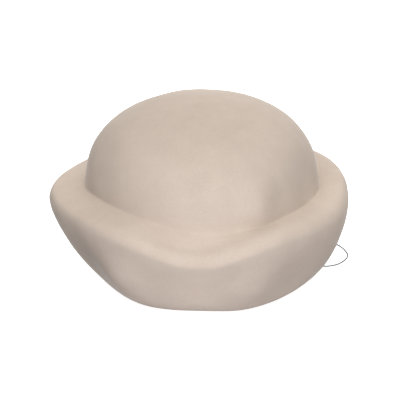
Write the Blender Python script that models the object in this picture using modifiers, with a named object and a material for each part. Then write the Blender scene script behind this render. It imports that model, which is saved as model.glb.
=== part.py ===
"""Blocked felt hat: a domed crown in a rolled, bowl-shaped brim, with an elastic cord.

Metres, +Z up, the front of the hat towards -Y. The hat stands on its turned-in hem at
z = 0, and the origin is in the middle under the felt.
"""

import math
from collections import namedtuple

import bmesh
import bpy
from mathutils import Vector

# Driving sizes of the felt
FELT_THICKNESS = 0.0025
HEAD_RADIUS = 0.080         # outer corner of the hem, round the head opening
HEM_WIDTH = 0.009           # felt that is turned in under the hat
BEND_REACH = 0.0045         # bend from the hem into the wall, outwards
BEND_RISE = 0.003           # and upwards
BRIM_RADIUS = 0.141         # widest line of the brim
BRIM_HEIGHT = 0.082         # height of that line
ROLL_WIDTH = 0.008          # from the widest line in to the top of the roll
ROLL_HEIGHT = 0.009         # from the widest line up to the top of the roll
CROWN_RADIUS = 0.110        # crease between brim and crown
CREASE_HEIGHT = 0.093       # height of that crease
CREASE_RISE = 0.010         # upright stretch of the crown just above the crease
HAT_HEIGHT = 0.179
CROWN_LEAN = 0.003          # the crown sits this far to the right of the brim

# Curves of the wall and of the crown, as exponents
WALL_FULLNESS = 1.8
CROWN_FLATNESS = 2.5
CROWN_FULLNESS = 2.1

# Lines of the wall as shares of its height, those of the ledge from the roll in to the
# crease, those of the crown as shares of its rise, and the flat top's share of its radius
WALL_LINE_SHARES = (0.14, 0.32, 0.55, 0.80, 0.94)
LEDGE_LINE_SHARES = (0.40, 0.80)
CROWN_LINE_SHARES = (0.30, 0.52, 0.71, 0.86, 0.96)
CROWN_TOP_SHARE = 0.12
BEND_SHARE = 0.07           # of the wall's flare, taken up by the bend above the hem
ROLL_LINE_SHARES = (0.35, 0.75)    # the roll's middle line, inwards and upwards

# How the blocked shape varies round the hat, as shares of the sizes above.
# Azimuth 0 is the right side, 90 the back, 180 the left side and 270 the front.
Section = namedtuple("Section", "azimuth opening fullness brim lift roll crease seat")
SECTIONS = (
    Section(0, 1.19, 1.25, 1.00, 1.05, 1.20, 1.00, 1.02),
    Section(30, 1.12, 1.10, 1.04, 1.04, 1.10, 1.01, 1.01),
    Section(60, 1.06, 1.04, 1.03, 0.99, 1.00, 1.01, 1.01),
    Section(90, 1.02, 1.00, 1.02, 0.96, 1.00, 1.01, 1.00),
    Section(120, 1.00, 0.96, 1.02, 0.94, 1.00, 1.00, 1.00),
    Section(150, 1.00, 0.90, 1.01, 0.95, 0.90, 1.01, 1.01),
    Section(180, 1.02, 0.90, 1.01, 1.02, 0.90, 1.01, 1.04),
    Section(210, 1.06, 1.01, 0.965, 1.08, 0.80, 0.98, 1.12),
    Section(240, 1.01, 0.78, 0.96, 1.075, 0.80, 0.98, 1.11),
    Section(270, 0.96, 0.66, 0.95, 0.89, 0.90, 1.00, 1.02),
    Section(300, 1.06, 0.76, 0.97, 1.09, 0.90, 1.00, 1.06),
    Section(330, 1.16, 1.30, 1.00, 1.06, 1.10, 1.00, 1.04),
)

# Soft dents of the felt, and ridges where the depth is negative. Height and reach are
# shares of the hat's height, depth is a share of the crown's radius, spread is in degrees.
Dent = namedtuple("Dent", "name azimuth spread height reach depth")
DENTS = (
    Dent("crown_right", 333, 17, 0.64, 0.15, 0.050),
    Dent("crown_right_edge", 314, 9, 0.60, 0.13, 0.026),
    Dent("crown_ridge", 299, 7, 0.58, 0.12, -0.036),
    Dent("wall_left", 215, 10, 0.25, 0.18, 0.036),
    Dent("wall_left_ridge", 236, 11, 0.23, 0.15, -0.070),
    Dent("wall_front", 265, 16, 0.22, 0.24, 0.016),
    Dent("wall_right_ridge", 294, 10, 0.22, 0.15, -0.050),
    Dent("wall_right", 317, 14, 0.26, 0.18, 0.030),
)

# The cage has this many columns, and the hem lifts over the cord at two of them
COLUMNS = 30
ARCH_COLUMNS = (1, 3)
ARCH_LIFT = 0.003

# Elastic cord, from its right end inside the hem, out under the felt in a loop that lies
# on the ground beside the hat, back in and round behind to its left end
CORD_DIAMETER = 0.0011
CORD_POINTS = 78            # points of the cord's tube
CORD_FINENESS = 24          # steps of the smooth curve between two points of the route
CORD_ROUTE = (
    (0.0910, -0.0097, 0.0037),
    (0.0860, -0.0087, 0.0037),
    (0.0825, -0.0062, 0.0014),
    (0.0810, 0.0033, 0.0007),
    (0.0835, 0.0118, 0.0007),
    (0.0910, 0.0173, 0.0007),
    (0.1050, 0.0141, 0.0007),
    (0.1215, 0.0088, 0.0007),
    (0.1350, 0.0133, 0.0007),
    (0.1442, 0.0258, 0.0007),
    (0.1454, 0.0378, 0.0007),
    (0.1378, 0.0551, 0.0007),
    (0.1210, 0.0659, 0.0007),
    (0.0990, 0.0640, 0.0007),
    (0.0750, 0.0528, 0.0007),
    (0.0560, 0.0473, 0.0007),
    (0.0300, 0.0573, 0.0007),
    (-0.0010, 0.0633, 0.0007),
    (-0.0330, 0.0553, 0.0007),
    (-0.0560, 0.0333, 0.0007),
    (-0.0650, 0.0118, 0.0007),
    (-0.0684, 0.0018, 0.0023),
    (-0.0728, -0.0015, 0.0038),
    (-0.0795, -0.0027, 0.0037),
)

FELT_COLOUR = (0.62, 0.52, 0.44)
FELT_ROUGHNESS = 0.95
CORD_COLOUR = (0.20, 0.21, 0.19)
CORD_ROUGHNESS = 0.7


def remove_everything():
    """Empty the scene."""
    for obj in list(bpy.data.objects):
        bpy.data.objects.remove(obj)


def material(name, colour, roughness):
    """A plain surface of one colour."""
    surface = bpy.data.materials.new(name)
    surface.use_nodes = True
    shader = surface.node_tree.nodes["Principled BSDF"]
    shader.inputs["Base Color"].default_value = (*colour, 1.0)
    shader.inputs["Roughness"].default_value = roughness
    shader.inputs["Metallic"].default_value = 0.0
    return surface


def curve_between(before, start, end, after, share):
    """Catmull-Rom curve from start to end, for numbers and for vectors."""
    slope = end - before
    bend = before * 2 - start * 5 + end * 4 - after
    twist = (start - end) * 3 + after - before
    return start + (slope + (bend + twist * share) * share) * (0.5 * share)


def around(column, azimuth):
    """One column of the sections, read smoothly at any azimuth in degrees."""
    step = 360 / len(SECTIONS)
    index, share = divmod(azimuth % 360 / step, 1)
    values = [getattr(SECTIONS[(int(index) + k) % len(SECTIONS)], column) for k in (-1, 0, 1, 2)]
    return curve_between(*values, share)


def profile(azimuth):
    """Lines of the felt's outside at one azimuth, from the hem's edge up to the top.

    Each line is (radius, height, share of the crown's lean).
    """
    opening = HEAD_RADIUS * around("opening", azimuth)
    brim = BRIM_RADIUS * around("brim", azimuth)
    lift = BRIM_HEIGHT * around("lift", azimuth)
    roll = around("roll", azimuth)
    crease = CROWN_RADIUS * around("crease", azimuth)
    seat = CREASE_HEIGHT * around("seat", azimuth)
    fullness = WALL_FULLNESS * around("fullness", azimuth)

    lines = [
        (opening - HEM_WIDTH, 0, 0),
        (opening - HEM_WIDTH / 2, 0, 0),
        (opening, 0, 0),
        (opening + BEND_REACH, BEND_RISE, 0),
    ]
    for share in WALL_LINE_SHARES:
        flare = BEND_SHARE + (1 - BEND_SHARE) * (1 - (1 - share) ** fullness)
        lines.append((opening + (brim - opening) * flare, lift * share, 0))

    inwards, upwards = ROLL_LINE_SHARES
    top_radius = brim - ROLL_WIDTH * roll
    top_height = lift + ROLL_HEIGHT * roll
    lines.append((brim, lift, 0))
    lines.append((brim - ROLL_WIDTH * roll * inwards, lift + ROLL_HEIGHT * roll * upwards, 0))
    lines.append((top_radius, top_height, 0))
    for share in LEDGE_LINE_SHARES:
        radius = top_radius + (crease - top_radius) * share
        height = top_height + (seat - top_height) * share
        lines.append((radius, height, share))

    lines.append((crease, seat, 1))
    lines.append((crease, seat + CREASE_RISE, 1))
    for share in CROWN_LINE_SHARES:
        radius = crease * (1 - share**CROWN_FLATNESS) ** (1 / CROWN_FULLNESS)
        lines.append((radius, seat + (HAT_HEIGHT - seat) * share, 1))
    lines.append((crease * CROWN_TOP_SHARE, HAT_HEIGHT, 1))
    return lines


def dent_depth(azimuth, height):
    """How far the soft dents push the felt inwards at one place."""
    depth = 0
    for dent in DENTS:
        turn = (azimuth - dent.azimuth + 180) % 360 - 180
        climb = (height - dent.height * HAT_HEIGHT) / (dent.reach * HAT_HEIGHT)
        depth += dent.depth * CROWN_RADIUS * math.exp(-((turn / dent.spread) ** 2) - climb**2)
    return depth


def felt_cage():
    """Open mesh of the felt's outside, with a row of points for each line of the profile."""
    step = 360 / COLUMNS
    # Smoothing draws a ring of points in by this much
    smoothing = (2 + math.cos(math.radians(step))) / 3
    cage = bmesh.new()
    rows = []
    for column in range(COLUMNS):
        azimuth = column * step
        direction = Vector((math.cos(math.radians(azimuth)), math.sin(math.radians(azimuth)), 0))
        points = []
        for radius, height, lean in profile(azimuth):
            point = direction * ((radius - dent_depth(azimuth, height)) / smoothing)
            point.x += CROWN_LEAN * lean
            point.z = height
            if column in ARCH_COLUMNS and height <= BEND_RISE:
                point.z += ARCH_LIFT
            points.append(cage.verts.new(point))
        rows.append(points)
    top = cage.verts.new((CROWN_LEAN, 0, HAT_HEIGHT))

    for column in range(COLUMNS):
        here = rows[column]
        there = rows[(column + 1) % COLUMNS]
        for line in range(len(here) - 1):
            cage.faces.new((here[line], there[line], there[line + 1], here[line + 1]))
        cage.faces.new((here[-1], there[-1], top))
    return cage


def felt_body(collection):
    """The hat's one piece of felt, with its origin in the middle under it."""
    cage = felt_cage()
    mesh = bpy.data.meshes.new("felt_body")
    cage.to_mesh(mesh)
    cage.free()
    mesh.shade_smooth()
    felt = bpy.data.objects.new("felt_body", mesh)
    collection.objects.link(felt)
    felt.data.materials.append(material("felt", FELT_COLOUR, FELT_ROUGHNESS))

    smooth = felt.modifiers.new("Smooth form", "SUBSURF")
    smooth.levels = 1
    smooth.render_levels = 1
    wall = felt.modifiers.new("Felt thickness", "SOLIDIFY")
    wall.thickness = FELT_THICKNESS
    wall.offset = -1
    wall.use_even_offset = True

    shape = felt.evaluated_get(bpy.context.evaluated_depsgraph_get())
    corners = [Vector(corner) for corner in shape.bound_box]
    felt.location.x = -(min(c.x for c in corners) + max(c.x for c in corners)) / 2
    felt.location.y = -(min(c.y for c in corners) + max(c.y for c in corners)) / 2
    return felt


def smooth_path(route, count):
    """Evenly spaced points on a smooth curve through the route's points."""
    points = [Vector(point) for point in route]
    first = points[0] * 2 - points[1]
    last = points[-1] * 2 - points[-2]
    guide = [first, *points, last]
    dense = []
    for index in range(len(points) - 1):
        for step in range(CORD_FINENESS):
            dense.append(curve_between(*guide[index:index + 4], step / CORD_FINENESS))
    dense.append(points[-1])

    travelled = [0.0]
    for start, end in zip(dense, dense[1:]):
        travelled.append(travelled[-1] + (end - start).length)
    path = []
    index = 0
    for number in range(count):
        target = travelled[-1] * number / (count - 1)
        while index < len(dense) - 2 and travelled[index + 1] < target:
            index += 1
        share = (target - travelled[index]) / (travelled[index + 1] - travelled[index])
        path.append(dense[index].lerp(dense[index + 1], share))
    return path


def elastic_cord(collection):
    """The round elastic, lying loose on the ground under and beside the hat."""
    curve = bpy.data.curves.new("elastic_cord", "CURVE")
    curve.dimensions = "3D"
    curve.bevel_depth = CORD_DIAMETER / 2
    curve.bevel_resolution = 2
    curve.use_fill_caps = True
    path = smooth_path(CORD_ROUTE, CORD_POINTS)
    spline = curve.splines.new("POLY")
    spline.points.add(len(path) - 1)
    for point, place in zip(spline.points, path):
        point.co = (*place, 1)
    cord = bpy.data.objects.new("elastic_cord", curve)
    collection.objects.link(cord)
    curve.materials.append(material("elastic", CORD_COLOUR, CORD_ROUGHNESS))
    return cord


def build():
    """Make the hat and its cord."""
    remove_everything()
    hat = bpy.data.collections.new("felt_hat")
    bpy.context.scene.collection.children.link(hat)
    felt_body(hat)
    elastic_cord(hat)


build()
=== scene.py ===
import math
from collections import namedtuple

import bpy
import numpy as np
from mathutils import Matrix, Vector, noise


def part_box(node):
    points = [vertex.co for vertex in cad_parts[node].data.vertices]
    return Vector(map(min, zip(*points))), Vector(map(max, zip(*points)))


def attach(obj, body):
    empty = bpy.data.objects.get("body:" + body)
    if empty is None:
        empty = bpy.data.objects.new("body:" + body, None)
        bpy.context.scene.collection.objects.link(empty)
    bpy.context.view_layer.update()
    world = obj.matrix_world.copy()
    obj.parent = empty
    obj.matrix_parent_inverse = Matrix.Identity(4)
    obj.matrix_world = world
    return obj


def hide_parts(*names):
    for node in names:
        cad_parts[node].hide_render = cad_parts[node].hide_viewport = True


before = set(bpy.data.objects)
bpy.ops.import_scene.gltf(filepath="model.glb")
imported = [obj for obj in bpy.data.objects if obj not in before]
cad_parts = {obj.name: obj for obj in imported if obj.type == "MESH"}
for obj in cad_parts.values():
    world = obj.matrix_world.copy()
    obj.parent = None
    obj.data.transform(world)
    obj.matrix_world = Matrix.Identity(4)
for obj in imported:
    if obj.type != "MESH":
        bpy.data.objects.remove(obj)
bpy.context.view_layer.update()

# The felt's box in the frame, from which every size of the felt is worked out
FELT_LOW, FELT_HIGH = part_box("felt_body")
WIDTH = FELT_HIGH[0] - FELT_LOW[0]
HEIGHT = FELT_HIGH[2] - FELT_LOW[2]

# Lengths across the hat, as shares of its width
HEAD_RADIUS = 0.2829 * WIDTH        # outer corner of the hem, round the head opening
HEM_WIDTH = 0.0318 * WIDTH          # felt that is turned in under the hat
BEND_REACH = 0.0159 * WIDTH         # bend from the hem into the wall, outwards
BRIM_RADIUS = 0.4986 * WIDTH        # widest line of the brim
ROLL_WIDTH = 0.0283 * WIDTH         # from the widest line in to the top of the roll
CROWN_RADIUS = 0.3890 * WIDTH       # crease between brim and crown
CROWN_LEAN = 0.0106 * WIDTH         # the crown sits this far to the right of the brim
CENTRE_X = 0.0010 * WIDTH           # the middle that the sections turn about, in the frame
CENTRE_Y = -0.0192 * WIDTH
FELT_THICKNESS = 0.00884 * WIDTH

# Heights, as shares of the hat's height
BEND_RISE = 0.0168 * HEIGHT         # bend from the hem into the wall, upwards
BRIM_HEIGHT = 0.458 * HEIGHT        # height of the brim's widest line
ROLL_HEIGHT = 0.0503 * HEIGHT       # from the widest line up to the top of the roll
CREASE_HEIGHT = 0.5196 * HEIGHT     # height of the crease between brim and crown
CREASE_RISE = 0.0559 * HEIGHT       # upright stretch of the crown just above the crease

# Curves of the wall and of the crown: the higher the number, the fuller the curve
WALL_FULLNESS = 1.8
CROWN_FLATNESS = 2.5
CROWN_FULLNESS = 2.1

# Lines of the profile, as shares of the stretch that they divide
WALL_LINES = (0.14, 0.32, 0.55, 0.80, 0.94)
LEDGE_LINES = (0.40, 0.80)
CROWN_LINES = (0.30, 0.52, 0.71, 0.86, 0.96)
CROWN_TOP = 0.12                    # radius of the crown's last ring, as a share of the crease's
BEND_SHARE = 0.07                   # of the wall's flare, taken up by the bend above the hem
ROLL_LINE = (0.35, 0.75)            # the roll's middle line, inwards and upwards

# A crisp crease draws the lines beside it closer than a soft one does
LEDGE_PRESSING = 0.12               # the ledge's last line comes this share of the ledge nearer
SOFT_RISE = 1.2                     # height of the line above a soft crease, in CREASE_RISE
RISE_PRESSING = 0.85                # and how much lower it lies above a crisp one

# The blocked shape round the hat. Azimuth 0 is the right side, 90 the back, 270 the front.
# Crisp is how sharply the crown's crease is pressed, from 0, soft, to 1, and shoulder is how
# much wider the brim's roll lies there. The other columns are factors of the sizes above.
Section = namedtuple("Section", "azimuth opening fullness brim lift roll crease seat crisp shoulder")
SECTIONS = (
    Section(0, 1.19, 1.25, 1.00, 1.05, 1.20, 1.00, 1.02, 0.9, 1.0),
    Section(30, 1.12, 1.10, 1.04, 1.04, 1.10, 1.01, 1.01, 1.0, 1.0),
    Section(60, 1.06, 1.04, 1.03, 0.99, 1.00, 1.01, 1.01, 1.0, 1.0),
    Section(90, 1.02, 1.00, 1.02, 0.96, 1.00, 1.01, 1.00, 1.0, 1.0),
    Section(120, 1.00, 0.96, 1.02, 0.94, 1.00, 1.00, 1.00, 1.0, 1.0),
    Section(150, 1.00, 0.90, 1.01, 0.95, 0.90, 1.01, 1.01, 1.0, 1.0),
    Section(180, 1.02, 0.90, 1.01, 1.02, 0.90, 1.01, 1.04, 1.0, 1.0),
    Section(210, 1.06, 1.01, 0.965, 1.08, 0.80, 0.98, 1.12, 1.0, 1.0),
    Section(240, 1.01, 0.78, 0.96, 1.10, 0.95, 0.98, 1.11, 0.7, 1.2),
    Section(270, 0.96, 0.70, 0.95, 0.88, 1.25, 1.00, 1.02, 0.0, 1.3),
    Section(300, 1.06, 0.80, 0.97, 1.11, 1.10, 1.00, 1.06, 0.1, 1.3),
    Section(330, 1.16, 1.30, 1.00, 1.06, 1.10, 1.00, 1.04, 0.8, 1.1),
)

# Dents, and ridges where the depth is negative. Height and reach are shares of the hat's
# height, depth is a share of the crown's radius, and spread is in degrees.
Dent = namedtuple("Dent", "name azimuth spread height reach depth")
DENTS = (
    Dent("crown_right", 333, 17, 0.64, 0.15, 0.050),
    Dent("crown_right_edge", 315, 10, 0.66, 0.14, 0.024),
    Dent("crown_ridge", 299, 8, 0.64, 0.11, -0.034),
    Dent("wall_left", 211, 11, 0.25, 0.18, 0.042),
    Dent("wall_left_ridge", 234, 11, 0.23, 0.15, -0.070),
    Dent("wall_front", 270, 18, 0.22, 0.24, 0.016),
    Dent("wall_right_ridge", 296, 10, 0.22, 0.15, -0.055),
    Dent("wall_right", 320, 14, 0.26, 0.18, 0.045),
)

# Soft waves left by hand blocking: noise cells in a metre, and height in metres
Wave = namedtuple("Wave", "name cells height seed")
WAVES = (
    Wave("broad", 30.0, 0.00055, 3),
    Wave("narrow", 95.0, 0.00016, 11),
)
CALM_ROWS = 8               # at the crown's top, over which the waves die out

# Painted light and shade: patches that make the felt's colour paler, as painted light, or darker
# where the shade is negative, as painted shade on the side walls, the crown's top and the hem's
# lowest edge
PaintedShadePatch = namedtuple("PaintedShadePatch", "name azimuth spread height reach shade")
PAINTED_SHADE_PATCHES = (
    PaintedShadePatch("wall_front", 268, 18, 0.18, 0.20, 0.15),
    PaintedShadePatch("ledge_front", 287, 42, 0.53, 0.07, 0.06),
    PaintedShadePatch("wall_left", 213, 19, 0.29, 0.18, -0.26),
    PaintedShadePatch("wall_right", 323, 19, 0.26, 0.18, -0.12),
    PaintedShadePatch("hem_edge", 265, 110, 0.00, 0.045, -0.10),
    PaintedShadePatch("ledge_right", 350, 25, 0.52, 0.06, 0.07),
    PaintedShadePatch("ledge_back_left", 165, 25, 0.53, 0.06, 0.07),
    PaintedShadePatch("crown_left", 205, 25, 0.62, 0.14, 0.04),
    PaintedShadePatch("crown_top", 270, 60, 0.95, 0.20, -0.04),
)
PAINTED_SHADE_ATTRIBUTE = "shade"        # of the mesh attribute that carries them to the material

# Slubs and specks of dark wool, at most one of a kind in a cell. Size is the radius in cells,
# empty is the share of the cells that have none, strength is how much paler the middle is, or
# darker where negative, and channel is the cell's random number that says which have one.
Fleck = namedtuple("Fleck", "name size empty strength channel")
FLECKS = (
    Fleck("slub", 0.11, 0.75, 0.09, "Red"),
    Fleck("dark_speck", 0.07, 0.85, -0.30, "Green"),
)
FLECK_CELLS = 70.0          # in a metre

# Fibres: noise drawn out along three directions, each turned by angles in radians
FIBRE_TURNS = ((0.3, 0.5, 0.2), (1.2, 0.1, 1.9), (0.7, 1.4, 0.9))
FIBRE_CELLS = (350, 1900, 1900)     # in a metre, along and across a fibre

# Colours, as red, green and blue in linear light
FELT_DARK = (0.530, 0.431, 0.364)
FELT_PALE = (0.563, 0.462, 0.392)
NAP_TINT = (1.0, 0.97, 0.94)
ELASTIC_DARK = (0.045, 0.055, 0.045)
ELASTIC_PALE = (0.10, 0.115, 0.10)
FLOOR_PAINT = (0.93, 0.93, 0.93)

# Cage and fine surface of the felt
COLUMNS = 30                # of the cage
ARCH_COLUMNS = (1, 3)       # where the hem lifts over the cord
ARCH_LIFT = BEND_RISE       # by as much as this
STEPS_AROUND = 10           # of the fine surface, between two columns
STEPS_ALONG = 6             # and between two lines of the profile

# Elastic cord: its route's points, in metres, with its real length and thickness
CORD_DIAMETER = 0.0011
CORD_POINTS = 160           # points of the cord's tube
CORD_FINENESS = 24          # steps of the smooth curve between two points of the route
CORD_ROUTE = (
    (0.0910, -0.0097, 0.0037),
    (0.0860, -0.0087, 0.0037),
    (0.0825, -0.0062, 0.0014),
    (0.0810, 0.0033, 0.0007),
    (0.0835, 0.0118, 0.0007),
    (0.0910, 0.0173, 0.0007),
    (0.1050, 0.0141, 0.0007),
    (0.1215, 0.0088, 0.0007),
    (0.1350, 0.0133, 0.0007),
    (0.1442, 0.0258, 0.0007),
    (0.1454, 0.0378, 0.0007),
    (0.1378, 0.0551, 0.0007),
    (0.1210, 0.0659, 0.0007),
    (0.0990, 0.0640, 0.0007),
    (0.0750, 0.0528, 0.0007),
    (0.0560, 0.0473, 0.0007),
    (0.0300, 0.0573, 0.0007),
    (-0.0010, 0.0633, 0.0007),
    (-0.0330, 0.0553, 0.0007),
    (-0.0560, 0.0333, 0.0007),
    (-0.0650, 0.0118, 0.0007),
    (-0.0684, 0.0018, 0.0023),
    (-0.0728, -0.0015, 0.0038),
    (-0.0795, -0.0027, 0.0037),
)

# Camera
CAMERA_ELEVATION = 25.0
CAMERA_DISTANCE = 1.8
VIEW_WIDTH = 0.3784         # what the picture shows at that distance
SENSOR_WIDTH = 36.0
CLIP_START = 0.05
AIM_X = 0.0008
AIM_HEIGHT = 0.083
AIM_DROP = 0.0043           # the aim lies this far under that height, in the picture

# Light: a pale room that glows softly from eight sides. The higher the narrowness, the
# smaller the glow, and its colour is white, warm or cool.
Glow = namedtuple("Glow", "name direction narrowness strength colour")
ROOM_GLOWS = (
    Glow("above", (0, 0, 1), 5, 1.73, (0.985, 1.0, 0.985)),
    Glow("behind", (0, 1, 0.09), 5, 2.64, (1.0, 1.0, 1.0)),
    Glow("behind_right", (0.70, 0.70, 0.17), 25, 2.78, (0.97, 1.0, 1.0)),
    Glow("front_above", (0, -0.50, 0.87), 5, 1.34, (0.97, 1.0, 0.99)),
    Glow("front", (0, -1, 0), 5, 1.88, (0.98, 1.0, 1.03)),
    Glow("front_right", (0.27, -0.96, 0), 25, 1.84, (0.96, 1.0, 1.02)),
    Glow("front_below", (0, -0.87, -0.50), 5, 0.60, (0.99, 1.0, 1.05)),
    Glow("below", (0, -0.50, -0.87), 5, 0.65, (0.99, 1.0, 1.05)),
)

# Floor
FLOOR_SIZE = 24
FLOOR_DROP = 0.0002         # under the hat, so that the two surfaces don't meet
FLOOR_GLOW = 0.75


def add_object(name, data):
    """A new object in the scene."""
    thing = bpy.data.objects.new(name, data)
    bpy.context.scene.collection.objects.link(thing)
    return thing


# Curves

def curve_between(before, start, end, after, share):
    """Catmull-Rom curve from start to end, for numbers and for vectors."""
    slope = end - before
    bend = before * 2 - start * 5 + end * 4 - after
    twist = (start - end) * 3 + after - before
    return start + (slope + (bend + twist * share) * share) * (0.5 * share)


def around(column, azimuth):
    """One column of the sections, read smoothly at any azimuth in degrees."""
    step = 360 / len(SECTIONS)
    index, share = divmod(azimuth % 360 / step, 1)
    values = [getattr(SECTIONS[(int(index) + k) % len(SECTIONS)], column) for k in (-1, 0, 1, 2)]
    return curve_between(*values, share)


def smooth_rows(rows, steps, closed):
    """Cubic B-spline along rows of control points, with this many steps from row to row."""
    if closed:
        guide = np.concatenate((rows[-1:], rows, rows[:2]))
    else:
        guide = np.concatenate((2 * rows[:1] - rows[1:2], rows, 2 * rows[-1:] - rows[-2:-1]))
    share = np.arange(steps) / steps
    weights = np.stack((
        (1 - share) ** 3,
        3 * share**3 - 6 * share**2 + 4,
        -3 * share**3 + 3 * share**2 + 3 * share + 1,
        share**3,
    ), axis=1) / 6
    spans = [np.tensordot(weights, guide[k:k + 4], axes=1) for k in range(len(guide) - 3)]
    if not closed:
        spans.append(rows[-1:])
    return np.concatenate(spans)


# The felt

def profile(azimuth):
    """Lines of the felt's outside at one azimuth: radius, height, share of the lean."""
    opening = HEAD_RADIUS * around("opening", azimuth)
    brim = BRIM_RADIUS * around("brim", azimuth)
    lift = BRIM_HEIGHT * around("lift", azimuth)
    roll = around("roll", azimuth)
    crease = CROWN_RADIUS * around("crease", azimuth)
    seat = CREASE_HEIGHT * around("seat", azimuth)
    crisp = around("crisp", azimuth)

    # Hem and wall
    lines = [
        (opening - HEM_WIDTH, 0, 0),
        (opening - HEM_WIDTH / 2, 0, 0),
        (opening, 0, 0),
        (opening + BEND_REACH, BEND_RISE, 0),
    ]
    fullness = WALL_FULLNESS * around("fullness", azimuth)
    for share in WALL_LINES:
        flare = BEND_SHARE + (1 - BEND_SHARE) * (1 - (1 - share) ** fullness)
        lines.append((opening + (brim - opening) * flare, lift * share, 0))

    # Roll of the brim's edge
    inwards, upwards = ROLL_LINE
    roll_width = ROLL_WIDTH * roll * around("shoulder", azimuth)
    roll_height = ROLL_HEIGHT * roll
    top_radius = brim - roll_width
    top_height = lift + roll_height
    lines.append((brim, lift, 0))
    lines.append((brim - roll_width * inwards, lift + roll_height * upwards, 0))
    lines.append((top_radius, top_height, 0))

    # Ledge and crease
    for share in (LEDGE_LINES[0], LEDGE_LINES[1] + LEDGE_PRESSING * crisp):
        radius = top_radius + (crease - top_radius) * share
        height = top_height + (seat - top_height) * share
        lines.append((radius, height, share))
    lines.append((crease, seat, 1))
    lines.append((crease, seat + CREASE_RISE * (SOFT_RISE - RISE_PRESSING * crisp), 1))

    # Crown
    for share in CROWN_LINES:
        radius = crease * (1 - share**CROWN_FLATNESS) ** (1 / CROWN_FULLNESS)
        lines.append((radius, seat + (HEIGHT - seat) * share, 1))
    lines.append((crease * CROWN_TOP, HEIGHT, 1))
    lines.append((0, HEIGHT, 1))
    return lines


def felt_cage():
    """Control points of the outside, as an array of lines by columns."""
    step = 360 / COLUMNS
    smoothing = (2 + math.cos(math.radians(step))) / 3      # by which a smoothed ring shrinks
    columns = []
    for column in range(COLUMNS):
        angle = math.radians(column * step)
        points = []
        for radius, height, lean in profile(column * step):
            lift = ARCH_LIFT if column in ARCH_COLUMNS and height <= BEND_RISE else 0
            points.append((
                radius / smoothing * math.cos(angle) + CROWN_LEAN * lean,
                radius / smoothing * math.sin(angle),
                height + lift,
            ))
        columns.append(points)
    return np.array(columns).transpose(1, 0, 2)


def surface_normals(points):
    """Outward unit normals of an array of rows by columns."""
    along = np.gradient(points, axis=0)
    across = np.roll(points, -1, axis=1) - np.roll(points, 1, axis=1)
    normals = np.cross(across, along)
    normals[-1] = (0, 0, 1)
    return normals / np.linalg.norm(normals, axis=2, keepdims=True)


def nearness(points, place):
    """How near each point lies to a dent or patch, from 0 far away to 1 in its middle."""
    azimuth = np.degrees(np.arctan2(points[..., 1], points[..., 0]))
    turn = (azimuth - place.azimuth + 180) % 360 - 180
    climb = (points[..., 2] - place.height * HEIGHT) / (place.reach * HEIGHT)
    return np.exp(-((turn / place.spread) ** 2) - climb**2)


def dents(points):
    """How far the dents push each point of the surface in towards the middle."""
    return sum(dent.depth * CROWN_RADIUS * nearness(points, dent) for dent in DENTS)


def unevenness(points):
    """Height of the waves at each point, along the normal."""
    heights = np.zeros(points.shape[:2])
    for row, column in np.ndindex(heights.shape):
        place = Vector(points[row, column])
        for wave in WAVES:
            swell = noise.noise(place * wave.cells + Vector((wave.seed, 0, 0)))
            heights[row, column] += wave.height * swell
    return heights


def felt_surface():
    """The felt's outside as an array of rows by columns, and the painted light and shade at each
    point.
    """
    points = smooth_rows(felt_cage(), STEPS_ALONG, closed=False)
    points = smooth_rows(points.transpose(1, 0, 2), STEPS_AROUND, closed=True).transpose(1, 0, 2)
    # Painted light and shade from the patches, as a factor on the felt's colour
    shade = 1 + sum(patch.shade * nearness(points, patch) for patch in PAINTED_SHADE_PATCHES)

    azimuth = np.arctan2(points[..., 1], points[..., 0])
    depth = dents(points)
    points[..., 0] -= depth * np.cos(azimuth)
    points[..., 1] -= depth * np.sin(azimuth)

    # The waves start above the hem's bend and die out round the crown's top
    strength = np.clip((points[..., 2] - BEND_RISE) / (2 * BEND_RISE), 0, 1)
    strength[-CALM_ROWS:] *= np.linspace(1, 0, CALM_ROWS)[:, None]
    points += surface_normals(points) * (unevenness(points) * strength)[..., None]
    points += (CENTRE_X, CENTRE_Y, 0)
    return points, shade


def felt_body():
    """The hat's one piece of felt, as a fine shell of its real thickness."""
    points, shade = felt_surface()
    rows, columns = points.shape[:2]
    vertices = [tuple(point) for point in points[:-1].reshape(-1, 3)]
    vertices.append(tuple(points[-1].mean(axis=0)))
    faces = []
    for row in range(rows - 2):
        here = row * columns
        above = here + columns
        for column in range(columns):
            beside = (column + 1) % columns
            faces.append((here + column, here + beside, above + beside, above + column))
    last = (rows - 2) * columns
    for column in range(columns):
        faces.append((last + column, last + (column + 1) % columns, len(vertices) - 1))

    mesh = bpy.data.meshes.new("felt")
    mesh.from_pydata(vertices, [], faces)
    mesh.shade_smooth()
    # The painted light and shade, carried to the material as a mesh attribute
    painted_shade_values = mesh.attributes.new(PAINTED_SHADE_ATTRIBUTE, "FLOAT", "POINT")
    painted_shade_values.data.foreach_set("value", [*shade[:-1].ravel(), shade[-1].mean()])
    body = add_object("felt", mesh)
    wall = body.modifiers.new("Felt thickness", "SOLIDIFY")
    wall.thickness = FELT_THICKNESS
    wall.offset = -1
    wall.use_even_offset = True
    return body


# Nodes of materials and of the world

def feed(tree, socket, value):
    """Give an input a plain value, or another node's output."""
    if isinstance(value, bpy.types.NodeSocket):
        tree.links.new(value, socket)
    else:
        socket.default_value = value


def set_inputs(tree, node, **inputs):
    """Feed some of a node's inputs by name, with underscores in place of spaces."""
    for name, value in inputs.items():
        feed(tree, node.inputs[name.replace("_", " ")], value)


def add_node(tree, kind, **inputs):
    """A new node with some of its inputs set."""
    node = tree.nodes.new(kind)
    set_inputs(tree, node, **inputs)
    return node


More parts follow.
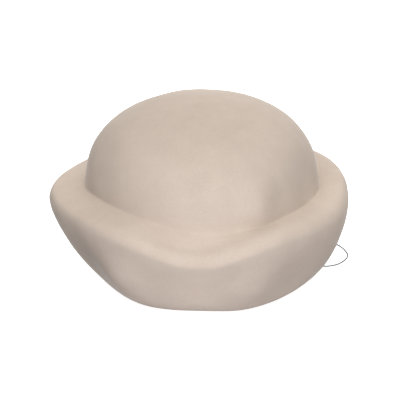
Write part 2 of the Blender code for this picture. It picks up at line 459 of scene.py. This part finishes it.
def add_math(tree, operation, first, second, kind="ShaderNodeMath"):
    """A node that works out one value from two, for numbers or, by kind, for vectors."""
    node = tree.nodes.new(kind)
    node.operation = operation
    feed(tree, node.inputs[0], first)
    feed(tree, node.inputs[1], second)
    return node


def math_value(tree, operation, first, second):
    """Result of a math node on two numbers."""
    return add_math(tree, operation, first, second).outputs["Value"]


def scaled(tree, colour, factor):
    """A colour times a number."""
    node = tree.nodes.new("ShaderNodeVectorMath")
    node.operation = "SCALE"
    set_inputs(tree, node, Vector=colour, Scale=factor)
    return node.outputs["Vector"]


def add_noise(tree, place, **inputs):
    """Noise at a place."""
    return add_node(tree, "ShaderNodeTexNoise", Vector=place, **inputs).outputs["Fac"]


def add_tones(tree, level, dark, pale, start, end):
    """Colours from dark to pale, as a level goes from start to end."""
    ramp = add_node(tree, "ShaderNodeValToRGB", Fac=level)
    for stop, position, colour in zip(ramp.color_ramp.elements, (start, end), (dark, pale)):
        stop.position = position
        stop.color = (*colour, 1)
    return ramp.outputs["Color"]


def add_bump(tree, level, strength, distance):
    """Bumps that rise with a level, up to a distance in metres."""
    bump = add_node(tree, "ShaderNodeBump", Height=level, Strength=strength, Distance=distance)
    return bump.outputs["Normal"]


def add_place(tree):
    """Places on the object, for its noise."""
    return tree.nodes.new("ShaderNodeTexCoord").outputs["Object"]


def new_material(name):
    """A material with its shader."""
    surface = bpy.data.materials.new(name)
    surface.use_nodes = True
    return surface


def set_shader(surface, **inputs):
    """Set some inputs of a material's shader."""
    tree = surface.node_tree
    set_inputs(tree, tree.nodes["Principled BSDF"], **inputs)


# Materials

def fibre_noise(tree, place):
    """Fibres that cross in three directions, with the highest one on top."""
    directions = []
    for turn in FIBRE_TURNS:
        mapping = add_node(tree, "ShaderNodeMapping", Vector=place, Rotation=turn, Scale=FIBRE_CELLS)
        turned = mapping.outputs["Vector"]
        directions.append(add_noise(tree, turned, Scale=1.0, Detail=3.0, Distortion=0.6))
    first, second, third = directions
    return math_value(tree, "MAXIMUM", math_value(tree, "MAXIMUM", first, second), third)


def fleck_factor(tree, place, fleck):
    """How much paler the felt is at one kind of fleck, or darker where negative."""
    cells = add_node(tree, "ShaderNodeTexVoronoi", Vector=place, Scale=FLECK_CELLS)
    spot = add_node(tree, "ShaderNodeMapRange", Value=cells.outputs["Distance"], From_Min=0,
                    From_Max=fleck.size, To_Min=fleck.strength, To_Max=0)
    chance = add_node(tree, "ShaderNodeSeparateColor", Color=cells.outputs["Color"])
    chosen = math_value(tree, "GREATER_THAN", chance.outputs[fleck.channel], fleck.empty)
    return math_value(tree, "MULTIPLY", spot.outputs["Result"], chosen)


def felt_material():
    """Blocked wool felt: fine matted fibres in every direction, a soft nap and faint mottling, with
    painted light and shade in its colour.
    """
    surface = new_material("felt")
    tree = surface.node_tree
    place = add_place(tree)

    # Faint mottling of the wool, crossed by its fibres
    mottling = add_noise(tree, place, Scale=45.0, Detail=5.0, Roughness=0.6)
    fibres = fibre_noise(tree, place)
    matted = tree.nodes.new("ShaderNodeMix")
    matted.data_type = "RGBA"
    matted.blend_type = "OVERLAY"
    tones = add_tones(tree, mottling, FELT_DARK, FELT_PALE, start=0.32, end=0.68)
    set_inputs(tree, matted, Factor=0.22, A=tones, B=fibres)

    # Painted light and shade as paler and darker patches, and the wool's own flecks
    painted_shade_node = tree.nodes.new("ShaderNodeAttribute")
    painted_shade_node.attribute_name = PAINTED_SHADE_ATTRIBUTE
    level = painted_shade_node.outputs["Fac"]
    for fleck in FLECKS:
        level = math_value(tree, "ADD", level, fleck_factor(tree, place, fleck))

    set_shader(
        surface,
        Base_Color=scaled(tree, matted.outputs["Result"], level),
        Roughness=0.95,
        Specular_IOR_Level=0.15,
        Sheen_Weight=0.34,
        Sheen_Roughness=0.24,
        Sheen_Tint=(*NAP_TINT, 1),
        Normal=add_bump(tree, fibres, strength=0.35, distance=0.00025),
    )
    return surface


def elastic_material():
    """Fine braided elastic, dark grey with a green cast."""
    surface = new_material("elastic")
    tree = surface.node_tree
    threads = add_noise(tree, add_place(tree), Scale=2600.0, Detail=2.0)
    set_shader(
        surface,
        Base_Color=add_tones(tree, threads, ELASTIC_DARK, ELASTIC_PALE, start=0, end=1),
        Roughness=0.7,
        Specular_IOR_Level=0.3,
        Normal=add_bump(tree, threads, strength=0.5, distance=0.0001),
    )
    return surface


# The cord

def smooth_path(route, count):
    """Evenly spaced points on a smooth curve through the route's points."""
    points = [Vector(point) for point in route]
    guide = [points[0] * 2 - points[1], *points, points[-1] * 2 - points[-2]]
    dense = []
    for index in range(len(points) - 1):
        for step in range(CORD_FINENESS):
            dense.append(curve_between(*guide[index:index + 4], step / CORD_FINENESS))
    dense.append(points[-1])
    travelled = [0.0]
    for start, end in zip(dense, dense[1:]):
        travelled.append(travelled[-1] + (end - start).length)
    path = []
    index = 0
    for number in range(count):
        target = travelled[-1] * number / (count - 1)
        while index < len(dense) - 2 and travelled[index + 1] < target:
            index += 1
        share = (target - travelled[index]) / (travelled[index + 1] - travelled[index])
        path.append(dense[index].lerp(dense[index + 1], share))
    return path


def elastic_cord():
    """The elastic along its route."""
    curve = bpy.data.curves.new("elastic", "CURVE")
    curve.dimensions = "3D"
    curve.bevel_depth = CORD_DIAMETER / 2
    curve.bevel_resolution = 3
    curve.use_fill_caps = True
    path = smooth_path(CORD_ROUTE, CORD_POINTS)
    spline = curve.splines.new("POLY")
    spline.points.add(len(path) - 1)
    for point, place in zip(spline.points, path):
        point.co = (*place, 1)
    return add_object("elastic", curve)


# Camera, light and floor

def camera():
    """The photograph's view: slightly from above, straight at the front."""
    angle = math.radians(CAMERA_ELEVATION)
    back = Vector((0, -math.cos(angle), math.sin(angle)))
    up = Vector((0, math.sin(angle), math.cos(angle)))
    aim = Vector((AIM_X, CENTRE_Y, AIM_HEIGHT)) - up * AIM_DROP
    data = bpy.data.cameras.new("camera")
    data.sensor_width = SENSOR_WIDTH
    data.lens = SENSOR_WIDTH * CAMERA_DISTANCE / VIEW_WIDTH
    data.clip_start = CLIP_START
    eye = add_object("camera", data)
    eye.location = aim + back * CAMERA_DISTANCE
    eye.rotation_euler = (-back).to_track_quat("-Z", "Y").to_euler()
    bpy.context.scene.camera = eye


def add_glow(tree, place, glow):
    """Light of one glow, which is strongest in its own direction."""
    direction = Vector(glow.direction).normalized()
    facing = add_math(tree, "DOT_PRODUCT", place, direction, "ShaderNodeVectorMath")
    facing.label = glow.name
    level = math_value(tree, "MAXIMUM", facing.outputs["Value"], 0)
    level = math_value(tree, "POWER", level, glow.narrowness)
    level = math_value(tree, "MULTIPLY", level, glow.strength)
    return scaled(tree, glow.colour, level)


def surroundings():
    """Pale room whose soft glows stand in for the lamps and the bright table in front."""
    world = bpy.data.worlds.new("surroundings")
    world.use_nodes = True
    tree = world.node_tree
    place = tree.nodes.new("ShaderNodeTexCoord").outputs["Generated"]
    total = add_glow(tree, place, ROOM_GLOWS[0])
    for glow in ROOM_GLOWS[1:]:
        more = add_glow(tree, place, glow)
        total = add_math(tree, "ADD", total, more, "ShaderNodeVectorMath").outputs["Vector"]
    set_inputs(tree, tree.nodes["Background"], Color=total)
    bpy.context.scene.world = world


def studio():
    """White floor in a pale room."""
    bpy.ops.mesh.primitive_plane_add(size=FLOOR_SIZE, location=(0, 0, -FLOOR_DROP))
    floor = bpy.context.object
    floor.name = "floor"
    floor.visible_diffuse = False
    floor.visible_glossy = False
    floor.visible_shadow = False
    paint = new_material("floor")
    set_shader(
        paint,
        Base_Color=(*FLOOR_PAINT, 1),
        Roughness=1.0,
        Specular_IOR_Level=0.0,
        Emission_Color=(1, 1, 1, 1),
        Emission_Strength=FLOOR_GLOW,
    )
    floor.data.materials.append(paint)

    surroundings()
    bpy.context.scene.view_settings.view_transform = "Standard"


camera()
studio()

felt = felt_body()
felt.data.materials.append(felt_material())
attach(felt, "root")
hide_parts("felt_body")

cord = elastic_cord()
cord.data.materials.append(elastic_material())
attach(cord, "root")
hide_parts("elastic_cord")
